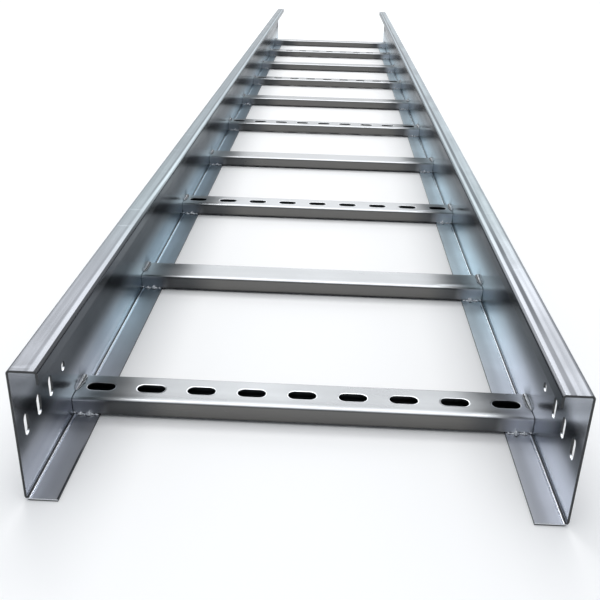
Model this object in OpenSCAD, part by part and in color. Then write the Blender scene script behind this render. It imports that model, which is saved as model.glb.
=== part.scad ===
// Cable ladder section: two formed side rails joined by C-shaped rungs, all cold formed
// from galvanised sheet. Sizes are in millimetres.
// X runs across the ladder, Y along it and Z up. The ladder lies flat on its rails, and the
// origin is on the floor at the middle of the ladder.

/* [Ladder] */
// Length of the section
ladder_l = 3000; // [900:100:6000]
// Overall width, over the outer faces of the two rails
ladder_w = 450; // [200:50:900]
// Distance from the centre of one rung to the centre of the next
rung_spacing = 300; // [200:25:450]

/* [Side rails] */
// Overall height of a rail
rail_h = 125; // [75:5:200]
// Thickness of the rail's sheet
rail_t = 2; // [1.2:0.1:3]
// Overall width of the bottom flange, which carries the rungs
bottom_flange_w = 28; // [25:1:50]
// Overall width of the top flange
top_flange_w = 25; // [16:1:40]
// Overall depth of the lip that hangs from the top flange
lip_h = 12; // [8:1:25]
// Inside radius of the bend between web and bottom flange
bottom_bend_r = 3; // [2:0.5:8]
// Inside radius of the bends at both edges of the top flange
top_bend_r = 1; // [0.5:0.5:3]

/* [Rungs] */
// Width of a rung, along the ladder
rung_w = 46; // [36:1:60]
// Height of a rung
rung_h = 18; // [14:1:41]
// Thickness of the rung's sheet
rung_t = 1.5; // [1:0.1:2.5]
// Overall width of each lip that turns in under a rung
rung_lip_w = 10; // [6:1:12]
// Inside radius of the rung's bends
rung_bend_r = 1.5; // [0.5:0.5:2.5]
// Gap between the end of a rung and the rail's web, which the weld bridges
end_gap = 0.5; // [0.5:0.5:3]
// Clearance between the rung's snipped end corner and the rail's bottom bend
snip_clearance = 0.5; // [0.5:0.5:3]

/* [Rung slots] */
// Overall length of a slot, across the ladder
slot_l = 28; // [18:1:40]
// Width of a slot
slot_w = 14; // [7:1:18]
// Distance from the centre of one slot to the centre of the next
slot_pitch = 50; // [45:5:75]
// Least metal between the last slot and the end of the rung
slot_end_margin = 8; // [5:1:20]
// Every so many rungs are slotted, starting at the first, and the others are plain
slotted_every = 2; // [1:1:5]

/* [Splice holes] */
// Upright slots at each end of a rail
splice_count = 3; // [1:1:3]
// Distance from the rail's end to the centre of the first splice slot
splice_first = 20; // [15:1:25]
// Distance from the centre of one splice slot to the centre of the next
splice_pitch = 30; // [20:1:32]
// Overall height of a splice slot
splice_slot_h = 20; // [14:1:30]
// Width of a splice slot
splice_slot_w = 9.5; // [7:0.5:13]
// Diameter of the round hole for a bonding strap
bonding_d = 9; // [6:0.5:13]
// Distance from the rail's end to the centre of the bonding hole
bonding_y = 115; // [110:1:150]

/* [Hidden] */
$fn = 64;

rung_count = floor(ladder_l / rung_spacing);
inside_w = ladder_w - 2 * rail_t;
rung_l = inside_w - 2 * end_gap;
slot_count = floor((rung_l - slot_l - 2 * slot_end_margin) / slot_pitch) + 1;
snip = bottom_bend_r - end_gap + snip_clearance;
web_mid_x = (ladder_w - rail_t) / 2;
cut_through = 4 * rail_t;

steel = "gainsboro";
plain_steel = "silver";

function rung_name(i) = str("rung_", i < 10 ? "0" : "", i);

// Quarter ring of sheet that turns left, from heading along +x to heading along +y.
module bend(inside_r, t) {
    outside_r = inside_r + t;
    translate([0, outside_r])
        intersection() {
            difference() {
                circle(outside_r);
                circle(inside_r);
            }
            translate([0, -outside_r])
                square(outside_r);
        }
}

// Section of a formed strip: a flat run, a left bend, the next flat run, and so on.
// The strip's outside face starts along the x axis.
module formed_strip(runs, bends, t, i = 0) {
    square([runs[i], t]);
    if (i < len(bends))
        translate([runs[i], 0]) {
            bend(bends[i], t);
            translate([bends[i] + t, bends[i] + t])
                rotate(90)
                    formed_strip(runs, bends, t, i + 1);
        }
}

// Section of the right-hand rail: bottom flange, web, top flange and lip.
module rail_section() {
    bottom_corner = bottom_bend_r + rail_t;
    top_corner = top_bend_r + rail_t;
    runs = [
        bottom_flange_w - bottom_corner,
        rail_h - bottom_corner - top_corner,
        top_flange_w - 2 * top_corner,
        lip_h - top_corner
    ];
    translate([ladder_w / 2 - bottom_flange_w, 0])
        formed_strip(runs, [bottom_bend_r, top_bend_r, top_bend_r], rail_t);
}

// Section of a rung: lip, side, top, side and lip, with the opening between the lips below.
module rung_section() {
    corner = rung_bend_r + rung_t;
    lip_run = rung_lip_w - corner;
    side_run = rung_h - 2 * corner;
    runs = [lip_run, side_run, rung_w - 2 * corner, side_run, lip_run];
    translate([rung_w / 2 - rung_lip_w, 0])
        formed_strip(runs, [for (i = [1 : 4]) rung_bend_r], rung_t);
}

// Slot with round ends, its length along x.
module obround(l, w) {
    square([l - w, w], center = true);
    for (end = [-1, 1])
        translate([end * (l - w) / 2, 0])
            circle(d = w);
}

// Cutters for one end of the right-hand rail's web: splice slots and the bonding hole.
module end_hole_cutters() {
    translate([web_mid_x, ladder_l / 2, rail_h / 2])
        rotate([90, 0, 90])
            linear_extrude(cut_through, center = true) {
                for (i = [0 : splice_count - 1])
                    translate([-splice_first - i * splice_pitch, 0])
                        rotate(90)
                            obround(splice_slot_h, splice_slot_w);
                translate([-bonding_y, 0])
                    circle(d = bonding_d);
            }
}

module rail_right() {
    color(steel)
        difference() {
            translate([0, ladder_l / 2, 0])
                rotate([90, 0, 0])
                    linear_extrude(ladder_l)
                        rail_section();
            end_hole_cutters();
            mirror([0, 1, 0])
                end_hole_cutters();
        }
}

module rail_left() {
    mirror([1, 0, 0])
        rail_right();
}

// Slots through the top of a rung.
module rung_slot_cutters() {
    for (i = [0 : slot_count - 1])
        translate([(i - (slot_count - 1) / 2) * slot_pitch, 0, rung_h - 2 * rung_t])
            linear_extrude(3 * rung_t)
                obround(slot_l, slot_w);
}

// Cutters that snip the rung's lower end corners clear of the rails' bottom bends.
module snip_cutters() {
    side = snip * sqrt(2);
    for (end = [-1, 1])
        translate([end * rung_l / 2, 0, 0])
            rotate([0, 45, 0])
                cube([side, 2 * rung_w, side], center = true);
}

// Rung number i, counted from the end at -y, lying on the rails' bottom flanges.
module rung(i) {
    slotted = (i - 1) % slotted_every == 0;
    color(slotted ? steel : plain_steel)
        translate([0, (i - (rung_count + 1) / 2) * rung_spacing, rail_t])
            difference() {
                translate([-rung_l / 2, 0, 0])
                    rotate([90, 0, 90])
                        linear_extrude(rung_l)
                            rung_section();
                snip_cutters();
                if (slotted)
                    rung_slot_cutters();
            }
}

rail_left();
rail_right();
for (i = [1 : rung_count])
    rung(i);
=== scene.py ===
"""Looks of the cable ladder section: galvanised sheet, weld beads, studio floor and light."""

import math
import random

import bmesh
import bpy
from mathutils import Matrix, Vector, noise


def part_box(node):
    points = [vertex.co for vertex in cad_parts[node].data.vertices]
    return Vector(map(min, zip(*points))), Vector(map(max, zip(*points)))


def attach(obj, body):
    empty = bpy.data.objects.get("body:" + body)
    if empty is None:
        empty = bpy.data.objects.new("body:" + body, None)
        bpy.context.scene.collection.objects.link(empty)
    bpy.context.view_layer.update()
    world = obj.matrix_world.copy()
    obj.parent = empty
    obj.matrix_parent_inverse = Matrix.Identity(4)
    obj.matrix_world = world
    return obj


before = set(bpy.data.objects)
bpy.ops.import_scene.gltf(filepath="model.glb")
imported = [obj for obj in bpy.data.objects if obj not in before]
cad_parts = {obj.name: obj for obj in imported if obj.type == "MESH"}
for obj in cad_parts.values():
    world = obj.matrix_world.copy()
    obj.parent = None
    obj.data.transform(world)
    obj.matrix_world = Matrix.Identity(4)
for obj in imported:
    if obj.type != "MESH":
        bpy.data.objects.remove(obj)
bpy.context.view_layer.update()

MM = 0.001
RUNGS = sorted(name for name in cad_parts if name.startswith("rung_"))
RAILS = ["rail_left", "rail_right"]

# Places of the structure, read from the frame
rail_low, rail_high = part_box("rail_right")
near_y, far_y = rail_low.y, rail_high.y
rail_outer_x, rail_h = rail_high.x, rail_high.z
flange_inner_x = rail_low.x
rung_low, rung_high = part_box(RUNGS[0])
rung_end_x = rung_high.x
rung_foot_z, rung_top_z = rung_low.z, rung_high.z
rung_w = rung_high.y - rung_low.y

# Sizes that the frame doesn't tell, as in the part's source
RAIL_T = 2 * MM
BEND_R = 3 * MM
TOP_FLANGE_W = 25 * MM
RUNG_SPACING = 300 * MM
SLOT_PITCH = 50 * MM
SLOT_L = 28 * MM
SLOT_W = 14 * MM

web_inner_x = rail_outer_x - RAIL_T


# ---------------------------------------------------------------- camera

CAMERA_AT = Vector((17.52, near_y / MM - 516.2, 438.54)) * MM
VIEW_RIGHT = Vector((0.998707, 0.044753, 0.024116))
VIEW_FORWARD = Vector((-0.030205, 0.903926, -0.426620))
LENS_MM = 47.48
SENSOR_MM = 36
CLIP_FROM, CLIP_TO = 0.01, 100


def make_camera():
    camera = bpy.data.objects.new("camera", bpy.data.cameras.new("camera"))
    bpy.context.scene.collection.objects.link(camera)
    back = -VIEW_FORWARD.normalized()
    up = back.cross(VIEW_RIGHT).normalized()
    right = up.cross(back)
    turn = Matrix((right, up, back)).transposed().to_4x4()
    camera.matrix_world = Matrix.Translation(CAMERA_AT) @ turn
    camera.data.lens = LENS_MM
    camera.data.sensor_width = SENSOR_MM
    camera.data.clip_start = CLIP_FROM
    camera.data.clip_end = CLIP_TO
    bpy.context.scene.camera = camera


# ---------------------------------------------------------------- node helpers


class Nodes:
    """Short calls for building a material's node tree.

    A mask is a number from 0 to 1 over the surface. A socket or a plain value can stand
    wherever a call takes a number or a colour.
    """

    def __init__(self, name):
        self.material = bpy.data.materials.new(name)
        self.material.use_nodes = True
        self.tree = self.material.node_tree
        self.shader = self.tree.nodes["Principled BSDF"]
        coords = self.add("ShaderNodeTexCoord")
        self.coords = coords.outputs["Object"]
        self.normal = coords.outputs["Normal"]

    def add(self, kind, **settings):
        made = self.tree.nodes.new(kind)
        for key, value in settings.items():
            setattr(made, key, value)
        return made

    def link(self, out, into):
        self.tree.links.new(out, into)

    def feed(self, socket, value):
        if hasattr(value, "is_output"):
            self.link(value, socket)
        else:
            socket.default_value = value

    def split(self, vector):
        made = self.add("ShaderNodeSeparateXYZ")
        self.link(vector, made.inputs[0])
        return made.outputs

    def math(self, operation, a, b=0.0):
        made = self.add("ShaderNodeMath", operation=operation)
        self.feed(made.inputs[0], a)
        self.feed(made.inputs[1], b)
        return made.outputs[0]

    def size(self, value):
        return self.math("ABSOLUTE", value)

    def inverse(self, mask):
        return self.math("SUBTRACT", 1.0, mask)

    def both(self, *masks):
        result = masks[0]
        for mask in masks[1:]:
            result = self.math("MULTIPLY", result, mask)
        return result

    def wrap(self, value, pitch):
        """The distance to the nearest multiple of the pitch, with its sign."""
        made = self.add("ShaderNodeMath", operation="WRAP")
        self.link(value, made.inputs[0])
        made.inputs[1].default_value = pitch / 2
        made.inputs[2].default_value = -pitch / 2
        return made.outputs[0]

    def ramp(self, value, start, end, low=0.0, high=1.0):
        """Smooth step from low at start to high at end; start may lie above end."""
        made = self.add("ShaderNodeMapRange", clamp=True)
        made.interpolation_type = "SMOOTHSTEP"
        self.feed(made.inputs["Value"], value)
        self.feed(made.inputs["From Min"], start)
        self.feed(made.inputs["From Max"], end)
        made.inputs["To Min"].default_value = low
        made.inputs["To Max"].default_value = high
        return made.outputs["Result"]

    def merge(self, data_type, factor, a, b):
        made = self.add("ShaderNodeMix", data_type=data_type)
        self.feed(made.inputs["Factor"], factor)
        self.feed(made.inputs["A"], a)
        self.feed(made.inputs["B"], b)
        return made.outputs["Result"]

    def blend(self, factor, a, b):
        """A number between a, where the factor is 0, and b, where it is 1."""
        return self.merge("FLOAT", factor, a, b)

    def mix(self, factor, a, b):
        """A colour between a and b, in the same way."""
        return self.merge("RGBA", factor, a, b)

    def noise(self, scale, detail=3.0, stretch=(1, 1, 1)):
        mapping = self.add("ShaderNodeMapping")
        mapping.inputs["Scale"].default_value = stretch
        self.link(self.coords, mapping.inputs["Vector"])
        made = self.add("ShaderNodeTexNoise")
        made.inputs["Scale"].default_value = scale
        made.inputs["Detail"].default_value = detail
        self.link(mapping.outputs["Vector"], made.inputs["Vector"])
        return made.outputs["Fac"]

    def bump(self, height, distance, normal=None):
        made = self.add("ShaderNodeBump")
        made.inputs["Distance"].default_value = distance
        self.link(height, made.inputs["Height"])
        if normal is not None:
            self.link(normal, made.inputs["Normal"])
        return made.outputs["Normal"]

    def rounded_edges(self, radius):
        made = self.add("ShaderNodeBevel", samples=4)
        made.inputs["Radius"].default_value = radius
        return made.outputs["Normal"]


class Zinc(Nodes):
    """Nodes of a galvanised material, with the places that its tones go by."""

    def __init__(self, name):
        super().__init__(name)
        self.x, self.y, self.z = self.split(self.coords)
        self.nx, _, self.nz = self.split(self.normal)
        self.across = self.size(self.x)
        self.right = self.math("GREATER_THAN", self.x, 0.0)
        self.left = self.inverse(self.right)

    def sided(self, left, right):
        """A number that differs between the left and the right half of the ladder."""
        return self.blend(self.right, left, right)

    def from_near(self, start, end, low=0.0, high=1.0):
        """Ramp along the ladder, between two distances from its near end in metres."""
        return self.ramp(self.y, near_y + start, near_y + end, low, high)

    def rung_row(self, shift=0.0):
        """Signed distance along the ladder from the nearest rung's middle, moved back by shift."""
        return self.wrap(self.math("ADD", self.y, RUNG_SPACING / 2 - shift), RUNG_SPACING)


# ---------------------------------------------------------------- materials


def grey(level, tint):
    return tuple(level * part for part in tint[:3]) + (1.0,)


# Tints of the metal, colour casts of painted reflection where they change with place: the colour
# of a level of 1
BLUE = (0.88, 1.0, 1.06, 1)
DEEP_BLUE = (0.85, 1.0, 1.11, 1)
TEAL = (0.89, 1.0, 1.035, 1)
LILAC = (0.965, 0.99, 1.06, 1)
WARM = (1.02, 1.0, 0.96, 1)
PLAIN = (0.97, 1.0, 1.03, 1)

# Sheared ends: dark as bare steel and as painted reflection. Flange edges: painted shadow. Hole
# walls: painted shade. Glints: painted highlights.
CUT_EDGE_BARE_STEEL_AND_REFLECTION = grey(0.055, PLAIN)
FLANGE_EDGE_PAINTED_SHADOW = grey(0.01, PLAIN)
CUT_GLINT = grey(0.9, PLAIN)
HOLE_WALL_PAINTED_SHADE = grey(0.06, PLAIN)
HOLE_GLINT = grey(0.95, PLAIN)
STAIN = grey(0.10, PLAIN)
RAIL_SPECULAR_TINT = (0.60, 0.625, 0.65, 1)

EDGE_ROUND = 0.6 * MM
CLOUD_SCALE, STREAK_SCALE, SPECK_SCALE, WAVE_SCALE = 9.0, 70.0, 300.0, 6.0
ALONG_RAIL, ALONG_RUNG = (1.0, 0.015, 1.0), (0.015, 1.0, 1.0)
RAIL_ROUGHNESS, RUNG_ROUGHNESS, DULL_ROUGHNESS = (0.17, 0.27), (0.26, 0.36), 0.38
RAIL_WAVE, RUNG_WAVE = 0.15 * MM, 0.6 * MM
TOUCH = 0.05 * MM  # how near a point lies to a face that it counts as part of


def worn_zinc(n, colour, along, rough, wave_depth, dull=None):
    """Finish shared by every galvanised surface: cloudy tone, draw lines, specks and soft waves.

    along stretches the draw lines, rough is the range of roughness, and dull is a mask of
    the places with a duller surface.
    """
    n.shader.inputs["Metallic"].default_value = 1.0
    cloud = n.noise(CLOUD_SCALE, detail=4.0)
    streak = n.noise(STREAK_SCALE, stretch=along)
    speck = n.noise(SPECK_SCALE, detail=1.0)
    tone = n.math("ADD", cloud, n.math("MULTIPLY", streak, 0.7))
    darker = n.mix(0.22, colour, STAIN)
    colour = n.mix(n.ramp(tone, 0.62, 1.08), darker, colour)
    colour = n.mix(n.ramp(speck, 0.79, 0.83, 0.0, 0.5), colour, STAIN)
    n.link(colour, n.shader.inputs["Base Color"])
    blotch = n.math("ADD", cloud, streak)
    roughness = n.ramp(blotch, 0.6, 1.4, rough[0], rough[1])
    if dull is not None:
        roughness = n.blend(dull, roughness, DULL_ROUGHNESS)
    n.link(roughness, n.shader.inputs["Roughness"])
    wave = n.noise(WAVE_SCALE, detail=1.0)
    return n.bump(wave, wave_depth, n.rounded_edges(EDGE_ROUND))


# Levels of the rails' base colour, most of them painted reflection, painted highlight and painted
# shade. A pair holds the left and the right rail's level.
WEB_OUTSIDE = 0.42
WEB_TOP_PAINTED_REFLECTION, WEB_TOP_FIRST_BAY_PAINTED_REFLECTION = 0.05, 0.10
WEB_FOOT_PAINTED_REFLECTION, WEB_FOOT_FIRST_BAY_PAINTED_REFLECTION = (0.97, 0.80), (0.94, 0.60)
WEB_BELT_NEAR_END_PAINTED_REFLECTION = 0.06
WEB_TOP_NEAR_END_PAINTED_REFLECTION = (0.48, 0.62)
DARK_PATCH = 0.08
LIP_PAINTED_REFLECTION = (0.09, 0.02)
BOTTOM_FLANGE_PAINTED_REFLECTION, BOTTOM_FLANGE_FIRST_BAY_PAINTED_REFLECTION = (0.46, 0.95), (0.44, 0.82)
BEND_PAINTED_SHADE = 0.07
BEND_PAINTED_HIGHLIGHT = 0.95
SHADED_EDGE = 0.05
TOP_GRAIN_REFLECTION_LOW, TOP_GRAIN_REFLECTION_HIGH = (0.27, 0.46), (0.34, 0.58)
TOP_GRAIN_REFLECTION_LOW_NEAR_LEFT, TOP_GRAIN_REFLECTION_HIGH_NEAR_LEFT = 0.36, 0.46
TOP_CLOUD, TOP_RUB = 0.24, 0.62
DARK_STRIPE_PAINTED_REFLECTION = (0.17, 0.11)
BRIGHT_STRIPE_PAINTED_HIGHLIGHT, BRIGHT_STRIPE_PAINTED_HIGHLIGHT_BEYOND_LEFT = (0.50, 0.56), 0.66
RIM_PAINTED_REFLECTION_RIGHT, RIM_PAINTED_REFLECTION_LEFT_NEAR, RIM_PAINTED_REFLECTION_LEFT_FAR = 0.20, 0.05, 0.40

# Heights and distances on the rails, in metres. A pair is for the left and the right rail.
UPPER_FROM_Z = rail_h - 20 * MM
WEB_FADE_TOP_Z, WEB_FADE_FOOT_Z = (60 * MM, 72 * MM), (15 * MM, 16 * MM)
DARK_PATCH_HALF_L, DARK_PATCH_HALF_H = 26 * MM, 17 * MM
DARK_PATCH_Z, DARK_PATCH_BEHIND = 22 * MM, 8 * MM
HOLES_FROM_Z, HOLES_TO_Z = 45 * MM, 80 * MM
STRIPE_WANDER, STRIPE_SHIFT_BEYOND_LEFT = 1.5 * MM, 2.0 * MM
DARK_FADE_FROM, DARK_FADE_TO = (17.6 * MM, 19.4 * MM), (16.0 * MM, 18.0 * MM)
BRIGHT_FADE_FROM, BRIGHT_FADE_TO = (16.6 * MM, 18.4 * MM), (18.4 * MM, 20.2 * MM)
RIM_FROM, RIM_FROM_BEYOND_LEFT = (21.9 * MM, 22.4 * MM), 23.0 * MM


class RailZinc(Zinc):
    """The rails' material: its masks, and the tones of each part of a rail."""

    def __init__(self):
        super().__init__("rail_zinc")
        sign = self.math("SIGN", self.x)
        # how far the surface faces the middle of the ladder, from -1 to 1
        self.inward = self.math("MULTIPLY", sign, self.math("MULTIPLY", self.nx, -1.0))
        self.faces_in = self.ramp(self.inward, 0.3, 0.7)
        self.faces_up = self.ramp(self.nz, 0.3, 0.7)
        self.upper = self.math("GREATER_THAN", self.z, UPPER_FROM_Z)
        self.lower = self.inverse(self.upper)
        self.first_bay = self.from_near(0.20, 0.10)
        self.near_end = self.from_near(0.08, 0.03)
        self.beyond_left = self.both(self.from_near(0.36, 0.55), self.left)
        # distance inwards from the web's outer face
        self.offset = self.math("SUBTRACT", rail_outer_x, self.across)
        self.on_bottom_flange = self.both(self.faces_up, self.lower)
        self.at_end = self.math("GREATER_THAN", self.size(self.y), far_y - TOUCH)

    def web(self):
        """Inner face of the web, its tones a painted reflection: light at its foot and dark above,
        with a darker patch by each rung.
        """
        height = self.ramp(self.z, self.sided(*WEB_FADE_TOP_Z), self.sided(*WEB_FADE_FOOT_Z))
        top = self.blend(self.first_bay, WEB_TOP_PAINTED_REFLECTION, WEB_TOP_FIRST_BAY_PAINTED_REFLECTION)
        foot = self.blend(self.first_bay, self.sided(*WEB_FOOT_PAINTED_REFLECTION), self.sided(*WEB_FOOT_FIRST_BAY_PAINTED_REFLECTION))
        level = self.blend(height, top, foot)
        # painted shade just above the bottom bend, beyond the first bay
        above_bend = self.ramp(self.z, 14 * MM, 6 * MM, 0.0, 0.35)
        level = self.blend(self.both(above_bend, self.inverse(self.first_bay)), level, BEND_PAINTED_SHADE)
        # near the near end, a dark belt and a light top on the web, both painted reflection
        belt = self.ramp(self.z, 38 * MM, 56 * MM, 0.0, 0.5)
        level = self.blend(self.both(self.near_end, belt), level, WEB_BELT_NEAR_END_PAINTED_REFLECTION)
        light = self.both(self.near_end, self.ramp(self.z, 72 * MM, 92 * MM))
        level = self.blend(light, level, self.sided(*WEB_TOP_NEAR_END_PAINTED_REFLECTION))
        return self.blend(self.dark_patch_by_rung(), level, DARK_PATCH)

    def dark_patch_by_rung(self):
        """Mask of a darker, patchy diamond on the web, a little behind each rung's middle."""
        along = self.size(self.math("DIVIDE", self.rung_row(DARK_PATCH_BEHIND), DARK_PATCH_HALF_L))
        above = self.math("SUBTRACT", self.z, DARK_PATCH_Z)
        upwards = self.size(self.math("DIVIDE", above, DARK_PATCH_HALF_H))
        diamond = self.ramp(self.math("ADD", along, upwards), 1.15, 0.25)
        patches = self.ramp(self.noise(60.0), 0.35, 0.6, 0.35, 0.75)
        return self.both(diamond, patches)

    def lip(self, level):
        """The lip that hangs from the top flange, dark on its inner face as painted reflection."""
        in_lip = self.math("LESS_THAN", self.across, rail_outer_x - TOP_FLANGE_W + RAIL_T)
        return self.blend(self.both(self.faces_in, in_lip), level, self.sided(*LIP_PAINTED_REFLECTION))

    def bottom(self, level):
        """Bottom flange, its tone a painted reflection, and painted shade on its bend, with a
        painted highlight line between them.
        """
        flange = self.blend(
            self.first_bay, self.sided(*BOTTOM_FLANGE_PAINTED_REFLECTION), self.sided(*BOTTOM_FLANGE_FIRST_BAY_PAINTED_REFLECTION)
        )
        level = self.blend(self.on_bottom_flange, level, flange)
        band = self.both(
            self.math("LESS_THAN", self.z, RAIL_T + BEND_R),
            self.ramp(self.nz, 0.25, 0.55),
            self.ramp(self.nz, 0.93, 0.86),
            0.92,
        )
        level = self.blend(band, level, BEND_PAINTED_SHADE)
        # painted shade on the left flange's inner edge at the near end
        shaded = self.both(
            self.on_bottom_flange,
            self.from_near(0.09, 0.06),
            self.ramp(self.offset, 26.4 * MM, 27.0 * MM),
            self.sided(0.95, 0.0),
        )
        level = self.blend(shaded, level, SHADED_EDGE)
        line = self.both(
            self.lower,
            self.ramp(self.nz, 0.86, 0.94),
            self.ramp(self.offset, 6.2 * MM, 5.2 * MM),
        )
        return self.blend(line, level, BEND_PAINTED_HIGHLIGHT)

    def top_grain_and_reflection(self):
        """The top flange's fine grain, with clouds and rub marks over it; its levels differ
        between the rails and at the near end as painted reflection.
        """
        cloud = self.noise(14.0, stretch=(1.6, 0.5, 1.0))
        fine = self.noise(240.0, detail=2.0, stretch=(1.0, 0.01, 1.0))
        rub = self.noise(90.0, detail=2.0, stretch=(0.12, 1.0, 1.0))
        low_left, low_right = TOP_GRAIN_REFLECTION_LOW
        high_left, high_right = TOP_GRAIN_REFLECTION_HIGH
        low_left = self.blend(self.near_end, low_left, TOP_GRAIN_REFLECTION_LOW_NEAR_LEFT)
        high_left = self.blend(self.near_end, high_left, TOP_GRAIN_REFLECTION_HIGH_NEAR_LEFT)
        low = self.sided(low_left, low_right)
        level = self.blend(self.ramp(fine, 0.35, 0.65), low, self.sided(high_left, high_right))
        level = self.blend(self.ramp(cloud, 0.35, 0.6, 0.45, 0.0), level, TOP_CLOUD)
        return self.blend(self.ramp(rub, 0.64, 0.70, 0.0, 0.3), level, TOP_RUB)

    def top_flange(self):
        """Top flange: its grain, a dark stripe of painted reflection and a bright stripe of
        painted highlight along it, its rim in painted reflection and painted shade by its outer
        edge.
        """
        drift = self.noise(5.0, detail=2.0, stretch=(0.2, 1.0, 1.0))
        wander = self.math("MULTIPLY", self.math("SUBTRACT", drift, 0.5), STRIPE_WANDER)
        shift = self.math("MULTIPLY", self.beyond_left, STRIPE_SHIFT_BEYOND_LEFT)
        place = self.math("SUBTRACT", self.math("ADD", self.offset, wander), shift)
        dark = self.both(
            self.ramp(place, 13.2 * MM, 15 * MM),
            self.ramp(place, self.sided(*DARK_FADE_FROM), self.sided(*DARK_FADE_TO)),
            self.ramp(drift, 0.3, 0.6, 0.55, 1.0),
            self.sided(self.blend(self.beyond_left, 0.5, 0.9), 1.0),
        )
        level = self.blend(dark, self.top_grain_and_reflection(), self.sided(*DARK_STRIPE_PAINTED_REFLECTION))
        rim_left, rim_right = RIM_FROM
        rim_left = self.blend(self.beyond_left, rim_left, RIM_FROM_BEYOND_LEFT)
        rim_from = self.sided(rim_left, rim_right)
        bright = self.both(
            self.ramp(place, self.sided(*BRIGHT_FADE_FROM), self.sided(*BRIGHT_FADE_TO)),
            self.math("LESS_THAN", self.offset, rim_from),
            0.85,
        )
        bright_left, bright_right = BRIGHT_STRIPE_PAINTED_HIGHLIGHT
        bright_left = self.blend(self.beyond_left, bright_left, BRIGHT_STRIPE_PAINTED_HIGHLIGHT_BEYOND_LEFT)
        level = self.blend(bright, level, self.sided(bright_left, bright_right))
        in_rim = self.ramp(self.offset, rim_from, self.math("ADD", rim_from, 0.4 * MM))
        rim_left = self.from_near(0.30, 0.60, RIM_PAINTED_REFLECTION_LEFT_NEAR, RIM_PAINTED_REFLECTION_LEFT_FAR)
        level = self.blend(in_rim, level, self.sided(rim_left, RIM_PAINTED_REFLECTION_RIGHT))
        outer_edge = self.ramp(self.offset, 4.5 * MM, 3.2 * MM)
        shade = self.both(outer_edge, self.sided(0.35, self.from_near(0.7, 0.2)))
        return self.blend(shade, level, self.math("MULTIPLY", level, 0.45))

    def tint(self):
        # the tints change with place as colour casts of painted reflection
        near = self.from_near(0.45, 0.15)
        tint = self.mix(near, BLUE, LILAC)
        left_flange = self.both(self.on_bottom_flange, self.left, self.from_near(0.15, 0.45))
        tint = self.mix(left_flange, tint, DEEP_BLUE)
        tint = self.mix(self.math("LESS_THAN", self.inward, -0.3), tint, LILAC)
        return self.mix(self.upper, tint, self.mix(near, TEAL, LILAC))

    def edges(self, colour):
        """Sheared ends and edges, and the walls of the punched holes, with painted shade, painted
        shadow and painted highlights.
        """
        inner_edge = self.math("LESS_THAN", self.across, flange_inner_x + TOUCH)
        # dark sheared ends, bare steel and painted reflection, with a painted highlight on the
        # bottom flange's end and painted shadow on the flanges' inner edges
        colour = self.mix(self.at_end, colour, CUT_EDGE_BARE_STEEL_AND_REFLECTION)
        glint = self.both(
            self.at_end,
            self.ramp(self.z, 0.9 * MM, 1.2 * MM),
            self.ramp(self.z, 2.2 * MM, 2.0 * MM),
        )
        colour = self.mix(glint, colour, CUT_GLINT)
        colour = self.mix(inner_edge, colour, FLANGE_EDGE_PAINTED_SHADOW)
        # painted shade on the holes' walls, and a painted highlight at the bottom where they catch
        # the light
        hole = self.both(
            self.math("LESS_THAN", self.size(self.inward), 0.3),
            self.math("GREATER_THAN", self.across, web_inner_x - 0.01 * MM),
            self.math("GREATER_THAN", self.z, HOLES_FROM_Z),
            self.math("LESS_THAN", self.z, HOLES_TO_Z),
            self.inverse(self.at_end),
        )
        wall = self.mix(self.ramp(self.nz, 0.35, 0.75), HOLE_WALL_PAINTED_SHADE, HOLE_GLINT)
        return self.mix(hole, colour, wall)


def rail_zinc():
    n = RailZinc()
    level = n.blend(n.faces_in, WEB_OUTSIDE, n.web())
    level = n.bottom(n.lip(level))
    level = n.blend(n.both(n.faces_up, n.upper), level, n.top_flange())
    scaled = n.add("ShaderNodeVectorMath", operation="SCALE")
    n.link(n.tint(), scaled.inputs[0])
    n.link(level, scaled.inputs["Scale"])
    colour = n.edges(scaled.outputs[0])
    n.shader.inputs["Specular Tint"].default_value = RAIL_SPECULAR_TINT
    dull = n.both(n.on_bottom_flange, n.ramp(n.offset, 5.6 * MM, 6.6 * MM))
    normal = worn_zinc(n, colour, ALONG_RAIL, RAIL_ROUGHNESS, RAIL_WAVE, dull)
    n.link(normal, n.shader.inputs["Normal"])
    return n.material


# Colours of the rungs, mostly painted light, painted shade, painted reflection and painted
# highlights. A pair is for the left and the right half of the ladder.
SIDE_PAINTED_SHADE = grey(0.165, WARM)
SIDE_TROUGH_PAINTED_SHADE = (grey(0.09, PLAIN), grey(0.12, PLAIN))
SIDE_END_PAINTED_REFLECTION = (grey(0.62, LILAC), grey(1.0, LILAC))
TOP_PAINTED_LIGHT, TOP_FAR_PAINTED_LIGHT = grey(0.40, PLAIN), grey(0.28, PLAIN)
TOP_END_PAINTED_REFLECTION, TOP_END_NEAR_RIGHT_PAINTED_REFLECTION = grey(0.42, BLUE), grey(0.62, LILAC)
FRONT_RIM_PAINTED_HIGHLIGHT, FRONT_RIM_RIGHT_END_PAINTED_HIGHLIGHT = grey(0.58, PLAIN), grey(0.95, PLAIN)
FRONT_OF_RIM_PAINTED_REFLECTION = grey(0.35, PLAIN)
INSIDE_PAINTED_SHADE = grey(0.05, BLUE)
SLOT_RIM_PAINTED_HIGHLIGHT, SLOT_WALL_PAINTED_SHADE = grey(0.85, PLAIN), grey(0.10, PLAIN)


def rung_side(n):
    """Colour of a rung's front and rear in painted shade, darker towards the rails, with a light
    painted reflection at the very end.
    """
    near_rail = n.ramp(n.across, n.sided(118 * MM, 150 * MM), n.sided(165 * MM, 180 * MM))
    side = n.mix(near_rail, SIDE_PAINTED_SHADE, n.mix(n.right, *SIDE_TROUGH_PAINTED_SHADE))
    return n.mix(n.ramp(n.across, 185 * MM, 210 * MM), side, n.mix(n.right, *SIDE_END_PAINTED_REFLECTION))


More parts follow.
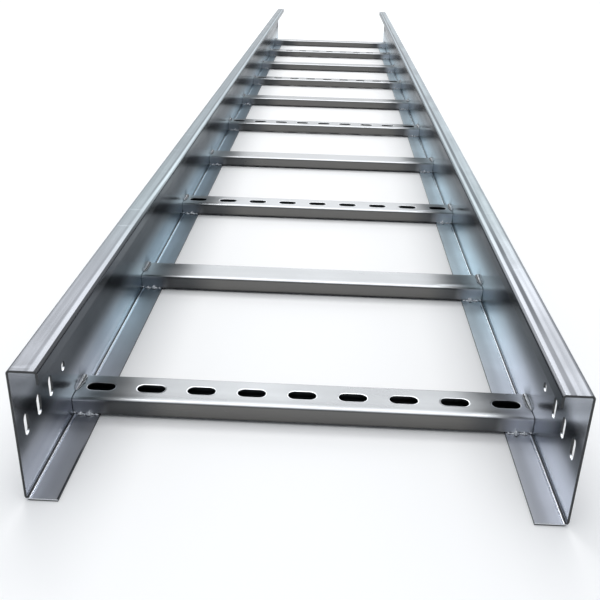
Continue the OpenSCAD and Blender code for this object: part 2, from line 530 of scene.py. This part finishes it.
def rung_top(n, row):
    """Colour of a rung's top, lighter than its sides as painted light, with painted reflection at
    its ends and a painted highlight along its front.
    """
    near_right = n.both(n.right, n.from_near(0.25, 0.18))
    middle = n.mix(n.from_near(0.75, 1.75), TOP_PAINTED_LIGHT, TOP_FAR_PAINTED_LIGHT)
    end = n.mix(near_right, TOP_END_PAINTED_REFLECTION, TOP_END_NEAR_RIGHT_PAINTED_REFLECTION)
    top = n.mix(n.ramp(n.across, 178 * MM, 205 * MM), middle, end)
    right_end = n.both(n.right, n.ramp(n.across, 150 * MM, 180 * MM))
    # at the right-hand ends beyond the first rung the painted highlight rim lies further in
    inset = n.both(right_end, n.inverse(near_right))
    in_rim = n.both(
        n.ramp(row, n.blend(inset, -15 * MM, -10 * MM), n.blend(inset, -20 * MM, -15 * MM)),
        n.ramp(n.across, n.sided(200 * MM, 208 * MM), n.sided(150 * MM, 185 * MM)),
    )
    rim = n.mix(right_end, FRONT_RIM_PAINTED_HIGHLIGHT, FRONT_RIM_RIGHT_END_PAINTED_HIGHLIGHT)
    rim = n.mix(n.both(inset, n.ramp(row, -17 * MM, -21 * MM)), rim, FRONT_OF_RIM_PAINTED_REFLECTION)
    return n.mix(in_rim, top, rim)


def slot_gap(n, row):
    """Distance to the edge of the nearest slot."""
    along = n.math("SUBTRACT", n.size(n.wrap(n.x, SLOT_PITCH)), (SLOT_L - SLOT_W) / 2)
    along = n.math("MAXIMUM", along, 0.0)
    squares = n.math("ADD", n.math("MULTIPLY", along, along), n.math("MULTIPLY", row, row))
    return n.math("SUBTRACT", n.math("SQRT", squares), SLOT_W / 2)


def rung_zinc(name, slotted):
    n = Zinc(name)
    faces_up = n.ramp(n.nz, 0.35, 0.8)
    row = n.rung_row()
    colour = n.mix(faces_up, rung_side(n), rung_top(n, row))
    # painted shade inside the channel
    inside = n.both(
        n.math("LESS_THAN", n.size(row), rung_w / 2 - 1.3 * MM),
        n.math("LESS_THAN", n.z, rung_top_z - 1.2 * MM),
    )
    colour = n.mix(inside, colour, INSIDE_PAINTED_SHADE)
    if slotted:
        gap = slot_gap(n, row)
        # a painted highlight round each slot's rim, and painted shade on its walls
        rim = n.both(faces_up, n.ramp(gap, 1.2 * MM, 0.5 * MM))
        colour = n.mix(rim, colour, SLOT_RIM_PAINTED_HIGHLIGHT)
        wall = n.both(n.ramp(gap, 0.25 * MM, 0.05 * MM), n.inverse(faces_up))
        colour = n.mix(wall, colour, SLOT_WALL_PAINTED_SHADE)
    normal = worn_zinc(n, colour, ALONG_RUNG, RUNG_ROUGHNESS, RUNG_WAVE)
    if slotted:
        # the sheet dips towards each slot's edge
        normal = n.bump(n.ramp(gap, 0.0, 1.4 * MM), 0.25 * MM, normal)
    n.link(normal, n.shader.inputs["Normal"])
    return n.material


def weld_metal():
    n = Nodes("weld_metal")
    grain = n.noise(900.0, detail=2.0)
    # a near-white base colour, partly painted highlight for the beads' glints
    colour = n.mix(n.ramp(grain, 0.35, 0.65), grey(0.62, PLAIN), grey(0.95, PLAIN))
    n.link(colour, n.shader.inputs["Base Color"])
    n.shader.inputs["Metallic"].default_value = 0.5
    n.shader.inputs["Roughness"].default_value = 0.2
    n.link(n.bump(grain, 0.15 * MM), n.shader.inputs["Normal"])
    return n.material


def weld_painted_shade():
    n = Nodes("weld_painted_shade")
    grain = n.noise(600.0, detail=2.0)
    # painted shade on a bead's toes and crest
    n.link(n.mix(grain, grey(0.05, PLAIN), grey(0.16, PLAIN)), n.shader.inputs["Base Color"])
    n.shader.inputs["Metallic"].default_value = 1.0
    n.shader.inputs["Roughness"].default_value = 0.5
    return n.material


def dress(nodes, material):
    for name in nodes:
        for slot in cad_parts[name].material_slots:
            slot.material = material


# ---------------------------------------------------------------- weld beads

ACROSS_STEPS = 8
STEP_LENGTH = 0.45 * MM
LEAST_STEPS = 12
SUNK = 0.25 * MM  # how deep a bead's root lies in the corner
RIPPLE_SWELL, LUMP_SWELL = 0.16, 0.18
LUMP_LENGTH = 2.5 * MM
BEAD_FLATNESS, BEAD_BULGE = 0.78, 0.10

# Strips of a bead in painted shade, numbered round the bead: its toes, and on the top beads also
# its crest
TOP_DARK = (0, 1, 4, 5, 9)
FOOT_DARK = (0, 1, 9)

# Reach of a bead at equal steps along it, and the pitch of its ripples
TOP_WIDTHS_MM = (1.4, 4.2, 4.8, 4.4, 5.0, 4.4, 4.6, 3.2, 1.0)
TOP_RIPPLE = 2.3 * MM
FOOT_WIDTHS_MM = (0.6, 1.9, 1.0, 1.8, 4.4, 3.6, 1.3, 1.2, 2.7, 1.8, 0.6)
FOOT_RIPPLE = 1.9 * MM

CORNER_DROPLET = 1.5 * MM
DROPLET_LUMPS, DROPLET_HEIGHT = 0.30, 0.8
DROPLETS_PER_FOOT = 3
DROPLETS_PER_TOP = 2


def fillet(build, start, end, wall_a, wall_b, widths, ripple, rng, dark_strips):
    """Bead in a corner: swept from start to end, between the directions wall_a and wall_b.

    widths gives the bead's reach at equal steps along it; ripple is the pitch of its waves.
    """
    along = end - start
    length = along.length
    steps = max(LEAST_STEPS, int(length / STEP_LENGTH))
    rings = []
    phase = rng.random()
    for i in range(steps + 1):
        t = i / steps
        place = t * (len(widths) - 1)
        index = min(int(place), len(widths) - 2)
        part = place - index
        part = part * part * (3 - 2 * part)
        reach = widths[index] * (1 - part) + widths[index + 1] * part
        wave = (t * length / ripple + phase) % 1.0
        reach *= 1.0 + RIPPLE_SWELL * math.sin(math.pi * wave)
        lump = noise.noise(Vector((t * length / LUMP_LENGTH, phase * 40, 0)))
        reach *= 1.0 + LUMP_SWELL * lump
        corner = start + along * t
        ring = [build.verts.new(corner - (wall_a + wall_b) * SUNK)]
        for k in range(ACROSS_STEPS + 1):
            turn = math.pi / 2 * k / ACROSS_STEPS
            bulge = reach * (BEAD_FLATNESS + BEAD_BULGE * math.sin(2 * turn))
            across = wall_a * (math.cos(turn) * bulge)
            upwards = wall_b * (math.sin(turn) * bulge)
            ring.append(build.verts.new(corner + across + upwards))
        rings.append(ring)
    count = ACROSS_STEPS + 2
    for ring, following in zip(rings, rings[1:]):
        for k in range(count):
            m = (k + 1) % count
            face = build.faces.new((ring[k], following[k], following[m], ring[m]))
            face.smooth = True
            face.material_index = 1 if k in dark_strips else 0
    build.faces.new(rings[0])
    build.faces.new(list(reversed(rings[-1])))


def droplet(build, place, radius, rng):
    made = bmesh.ops.create_icosphere(build, subdivisions=2, radius=radius)
    seed = Vector((rng.random() * 50, rng.random() * 50, rng.random() * 50))
    for vert in made["verts"]:
        swell = 1.0 + DROPLET_LUMPS * noise.noise(vert.co / radius * 0.9 + seed)
        vert.co = Vector((vert.co.x, vert.co.y, vert.co.z * DROPLET_HEIGHT)) * swell + place
    for face in {face for vert in made["verts"] for face in vert.link_faces}:
        face.smooth = True


def weld_top(build, side, lowest, highest, rng):
    """The bead along the rung's top edge against the web, from its rear corner forward."""
    outward = Vector((side, 0, 0))
    up = Vector((0, 0, 1))
    web_x = side * web_inner_x
    rear = Vector((web_x, highest.y - (1.0 + rng.random()) * MM, rung_top_z))
    front = Vector((web_x, lowest.y + rng.uniform(12, 17) * MM, rung_top_z))
    widths = [w * MM * rng.uniform(0.9, 1.1) for w in TOP_WIDTHS_MM]
    fillet(build, rear, front, -outward, up * 0.75, widths, TOP_RIPPLE, rng, TOP_DARK)


def weld_foot(build, side, direction, y, rng):
    """The bead at one foot of the rung, on the flange, with its spatter."""
    facing = Vector((0, direction, 0))
    up = Vector((0, 0, 1))
    bend_x = web_inner_x - BEND_R
    first = Vector((side * (flange_inner_x + 1.0 * MM), y, rung_foot_z))
    last = Vector((side * (bend_x - 0.5 * MM), y, rung_foot_z))
    widths = [w * MM * rng.uniform(1.0, 1.45) for w in FOOT_WIDTHS_MM]
    fillet(build, first, last, facing, up, widths, FOOT_RIPPLE, rng, FOOT_DARK)
    # a spot of weld fills the snipped corner
    corner_x = side * (web_inner_x - 1.3 * MM)
    corner = Vector((corner_x, y - direction * 0.6 * MM, rung_foot_z + 1.4 * MM))
    droplet(build, corner, CORNER_DROPLET, rng)
    for _ in range(DROPLETS_PER_FOOT):
        x = side * rng.uniform(flange_inner_x + 3 * MM, bend_x)
        out = direction * rng.uniform(1.5, 4.5) * MM
        radius = rng.uniform(0.35, 0.9) * MM
        droplet(build, Vector((x, y + out, rung_foot_z + 0.3 * radius)), radius, rng)


def spatter_top(build, side, middle_y, rng):
    for _ in range(DROPLETS_PER_TOP):
        x = side * rung_end_x - side * rng.uniform(3, 9) * MM
        y = middle_y + rng.uniform(-0.3, 0.45) * rung_w
        droplet(build, Vector((x, y, rung_top_z)), rng.uniform(0.25, 0.5) * MM, rng)


def weld_rung(name, materials, rng):
    """The beads and the spatter at both ends of one rung."""
    lowest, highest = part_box(name)
    build = bmesh.new()
    for side in (-1, 1):
        weld_top(build, side, lowest, highest, rng)
        weld_foot(build, side, -1, lowest.y, rng)
        weld_foot(build, side, 1, highest.y, rng)
        spatter_top(build, side, (lowest.y + highest.y) / 2, rng)
    bmesh.ops.recalc_face_normals(build, faces=build.faces)
    mesh = bpy.data.meshes.new("weld_" + name)
    build.to_mesh(mesh)
    build.free()
    for material in materials:
        mesh.materials.append(material)
    piece = bpy.data.objects.new("weld_" + name, mesh)
    bpy.context.scene.collection.objects.link(piece)
    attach(piece, "root")


# ---------------------------------------------------------------- studio

FLOOR_HALF = 12.0
FLOOR_Z = -0.1 * MM  # just under the ladder, so that the two share no plane
FLOOR_COLOUR = (0.95, 0.95, 0.95, 1)
WORLD_COLOUR = (0.39, 0.41, 0.435, 1)

# Softboxes: name, place, the point that it faces, width and height, and radiance
LIGHTS = (
    ("back_low", (0, 5.5, 0.58), (0, 0, 0.58), (9.0, 1.04), 0.8),
    ("back_middle", (0, 5.5, 1.75), (0, 0, 1.75), (9.0, 1.3), 1.3),
    ("back_high", (0, 5.5, 3.5), (0, 0, 3.5), (9.0, 2.2), 1.8),
    ("sky_back", (-0.5, 2.4, 4.4), (0, -1.6, 0), (3.4, 1.6), 4.0),
    ("overhead", (0, -0.6, 4.6), (0, -0.6, 0), (5.0, 7.0), 1.4),
)


def make_floor():
    mesh = bpy.data.meshes.new("floor")
    signs = ((-1, -1), (1, -1), (1, 1), (-1, 1))
    corners = [(FLOOR_HALF * x, FLOOR_HALF * y, FLOOR_Z) for x, y in signs]
    mesh.from_pydata(corners, [], [(0, 1, 2, 3)])
    floor = bpy.data.objects.new("floor", mesh)
    bpy.context.scene.collection.objects.link(floor)
    n = Nodes("floor_paint")
    n.shader.inputs["Base Color"].default_value = FLOOR_COLOUR
    n.shader.inputs["Roughness"].default_value = 0.9
    mesh.materials.append(n.material)


def softbox(name, place, target, size, radiance):
    lamp = bpy.data.lights.new(name, "AREA")
    lamp.shape = "RECTANGLE"
    lamp.size, lamp.size_y = size
    lamp.energy = radiance * math.pi * size[0] * size[1]
    made = bpy.data.objects.new(name, lamp)
    made.location = place
    facing = Vector(target) - Vector(place)
    made.rotation_euler = facing.to_track_quat("-Z", "Y").to_euler()
    made.visible_camera = False
    bpy.context.scene.collection.objects.link(made)


def make_lights():
    for settings in LIGHTS:
        softbox(*settings)
    world = bpy.data.worlds.new("world")
    world.use_nodes = True
    world.node_tree.nodes["Background"].inputs["Color"].default_value = WORLD_COLOUR
    bpy.context.scene.world = world


make_camera()
dress(RAILS, rail_zinc())
dress(RUNGS[0::2], rung_zinc("rung_zinc_slotted", True))
dress(RUNGS[1::2], rung_zinc("rung_zinc_plain", False))
weld_materials = (weld_metal(), weld_painted_shade())
for number, rung in enumerate(RUNGS):
    weld_rung(rung, weld_materials, random.Random(100 + number))
make_floor()
make_lights()

bpy.context.scene.view_settings.view_transform = "Standard"
